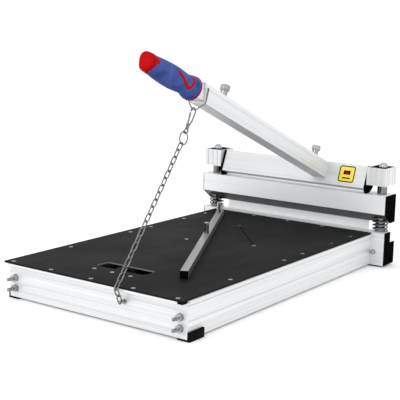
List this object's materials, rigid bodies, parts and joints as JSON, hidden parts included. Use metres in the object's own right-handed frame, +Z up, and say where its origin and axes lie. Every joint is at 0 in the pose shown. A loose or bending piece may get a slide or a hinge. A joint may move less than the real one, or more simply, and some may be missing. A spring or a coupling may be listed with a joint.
{
  "type": "guillotine flooring cutter",
  "caption": "Bench guillotine cutter for laminate and vinyl flooring: black table on rails, sprung blade beam, cam lever with telescopic handle, mitre fence, hold-down chain.",
  "frame": {"origin": "on the floor, under the centre of the bounding box, with the lever down and its chain hooked on", "axes": "+Z up, -Y towards the operator and the lever's handle, +X to the operator's right"},
  "size_m": [0.4428, 0.6927, 0.432],
  "materials": {
    "black_plate": "matt fine texture",
    "anodised": "satin anodised",
    "tool_steel": "ground",
    "zinc_screws": "bright zinc",
    "chrome_rod": "polished",
    "knob_metal": "turned",
    "spring_steel": "bright wire",
    "black_plastic": "matt",
    "foot_rubber": "matt",
    "white_tube": "bright satin",
    "blue_rubber": "soft matt",
    "red_rubber": "soft matt",
    "yellow_label": "printed film"
  },
  "bodies": {
    "frame": {"table_plate": "black_plate", "plate_screws": "zinc_screws", "corner_plugs": "black_plastic", "front_rail": "anodised", "left_rail": "anodised", "right_rail": "anodised", "front_cross_member": "anodised", "middle_cross_member": "anodised", "rear_cross_member": "anodised", "front_rail_bolts": "zinc_screws", "lower_beam": "anodised", "left_lower_beam_cap": "black_plastic", "right_lower_beam_cap": "black_plastic", "anvil_strip": "tool_steel", "beam_mount_bolts": "zinc_screws", "left_front_foot": "foot_rubber", "right_front_foot": "foot_rubber", "left_rear_foot": "foot_rubber", "right_rear_foot": "foot_rubber", "left_post": "chrome_rod", "right_post": "chrome_rod", "left_cap_block": "anodised", "right_cap_block": "anodised", "cap_block_covers": "black_plastic", "cap_bolts": "zinc_screws", "chain_eye": "zinc_screws", "fence_pivot_post": "zinc_screws", "left_spring": "spring_steel", "right_spring": "spring_steel"},
    "blade_carrier": {"blade_beam": "anodised", "left_blade_beam_cap": "black_plastic", "right_blade_beam_cap": "black_plastic", "blade": "tool_steel", "blade_screws": "zinc_screws", "left_guide_bush": "tool_steel", "right_guide_bush": "tool_steel"},
    "lever": {"cam_bar": "anodised", "left_cam_plate": "black_plastic", "right_cam_plate": "black_plastic", "pivot_pins": "chrome_rod", "lever_tube": "anodised", "lever_stub": "anodised", "label_plate": "yellow_label"},
    "socket_clamp": {"socket_knob": "knob_metal"},
    "extension_clamp": {"extension_knob": "knob_metal"},
    "extension": {"extension_tube": "white_tube", "grip": "blue_rubber", "grip_collar_ring": "red_rubber", "grip_end_cap": "red_rubber", "grip_inlay": "red_rubber"},
    "bail": {"chain_bail": "chrome_rod"},
    "chain_tail": {"chain_tail_links": "chrome_rod"},
    "chain": {"chain_links": "chrome_rod", "chain_ring": "chrome_rod", "snap_hook": "chrome_rod"},
    "gate": {"hook_gate": "chrome_rod"},
    "fence": {"fence_bar": "anodised", "fence_end_plugs": "black_plastic"},
    "fence_lock": {"fence_lock_screw": "zinc_screws"}
  },
  "joints": [
    {"name": "lever_pivot", "type": "hinge", "parent": "frame", "child": "lever", "pos_m": [0, 0.321, 0.181], "axis": [-1, 0, 0], "range_deg": [0, 68]},
    {"name": "beam_slide", "type": "slide", "parent": "frame", "child": "blade_carrier", "axis": [0, 0, 1], "range_m": [0, 0.0166], "deforming": ["left_spring", "right_spring"]},
    {"name": "socket_knob_turn", "type": "hinge", "parent": "lever", "child": "socket_clamp", "pos_m": [0.0665, 0.27786, 0.21598], "axis": [0, 0.3746, 0.9272], "range_deg": [0, 360]},
    {"name": "extension_knob_turn", "type": "hinge", "parent": "lever", "child": "extension_clamp", "pos_m": [0.0665, -0.05964, 0.35234], "axis": [0, 0.3746, 0.9272], "range_deg": [0, 360]},
    {"name": "extension_slide", "type": "slide", "parent": "lever", "child": "extension", "axis": [0, -0.9272, 0.3746], "range_m": [0, 0.1]},
    {"name": "bail_swing", "type": "hinge", "parent": "lever", "child": "bail", "pos_m": [0.0665, -0.1278, 0.3687], "axis": [-1, 0, 0], "range_deg": [0, 18.2]},
    {"name": "chain_tail_swing", "type": "hinge", "parent": "frame", "child": "chain_tail", "pos_m": [0.0665, -0.331, 0.04204], "axis": [1, 0, 0], "range_deg": [0, 75.8]},
    {"name": "chain_swing", "type": "hinge", "parent": "chain_tail", "child": "chain", "pos_m": [0.0665, -0.3426, 0.066], "axis": [1, 0, 0], "range_deg": [0, 55.3]},
    {"name": "hook_gate_swing", "type": "hinge", "parent": "chain", "child": "gate", "pos_m": [0.0665, -0.16206, 0.31066], "axis": [-1, 0, 0], "range_deg": [0, 12], "stiffness_Nm_per_rad": 0.01},
    {"name": "fence_swing", "type": "hinge", "parent": "frame", "child": "fence", "pos_m": [-0.117, 0.207, 0.0683], "axis": [0, 0, 1], "range_deg": [-28, 10]},
    {"name": "fence_lock_turn", "type": "hinge", "parent": "fence", "child": "fence_lock", "pos_m": [-0.02029, 0.02511, 0.075], "axis": [0, 0, 1], "range_deg": [0, 360]}
  ],
  "couplings": [
    {"joint": "beam_slide", "follows": "lever_pivot", "m_per_rad": 0.0139},
    {"joint": "bail_swing", "follows": "lever_pivot", "ratio": 0.26471},
    {"joint": "chain_tail_swing", "follows": "lever_pivot", "ratio": 1.1118},
    {"joint": "chain_swing", "follows": "lever_pivot", "ratio": 0.81029}
  ]
}
